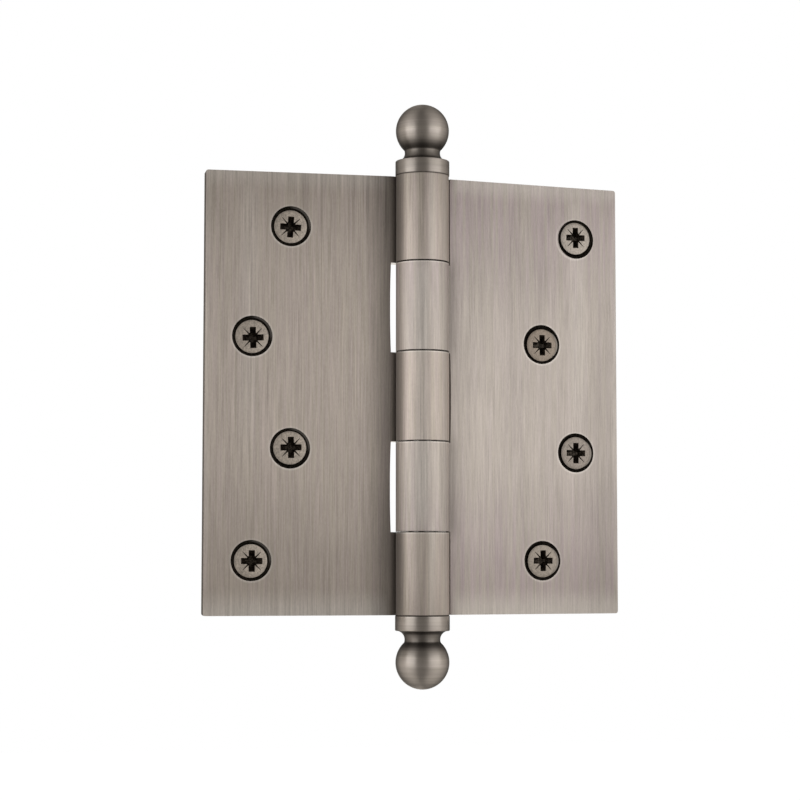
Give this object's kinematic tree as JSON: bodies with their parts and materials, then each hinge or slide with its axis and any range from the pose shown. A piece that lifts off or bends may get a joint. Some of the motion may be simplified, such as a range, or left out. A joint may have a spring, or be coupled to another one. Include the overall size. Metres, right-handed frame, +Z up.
{
  "type": "door hinge",
  "caption": "Butt hinge with two flat leaves rolled into interleaved knuckles round a lift-out pin with ball tips, screwed to a door and its frame so that the door swings.",
  "frame": {"origin": "on the back of the frame leaf, where it bears on the frame, level with the middle of the leaf and half way between its two columns of screws", "axes": "+Z up along the hinge pin; +Y out of the back of the frame leaf, into the frame; +X from the frame leaf towards the pin and the door leaf"},
  "size_m": [0.1, 0.039, 0.1355],
  "materials": {
    "leaf_finish": "brushed antique nickel",
    "tip_finish": "turned antique nickel",
    "screw_finish": "satin antique nickel",
    "pin_steel": "plain drawn steel"
  },
  "bodies": {
    "frame": {"frame_leaf": "leaf_finish", "frame_leaf_screws": "screw_finish", "bottom_ball_tip": "tip_finish"},
    "door": {"door_leaf": "leaf_finish", "door_leaf_screws": "screw_finish"},
    "pin": {"hinge_pin": "pin_steel", "top_ball_tip": "tip_finish"}
  },
  "joints": [
    {"name": "leaf_swing", "type": "hinge", "parent": "frame", "child": "door", "pos_m": [0.0351, -0.0037, 0], "axis": [0, 0, 1], "range_deg": [-189.5, 80.5]},
    {"name": "pin_lift", "type": "slide", "parent": "frame", "child": "pin", "axis": [0, 0, 1], "range_m": [0, 0.094]}
  ]
}
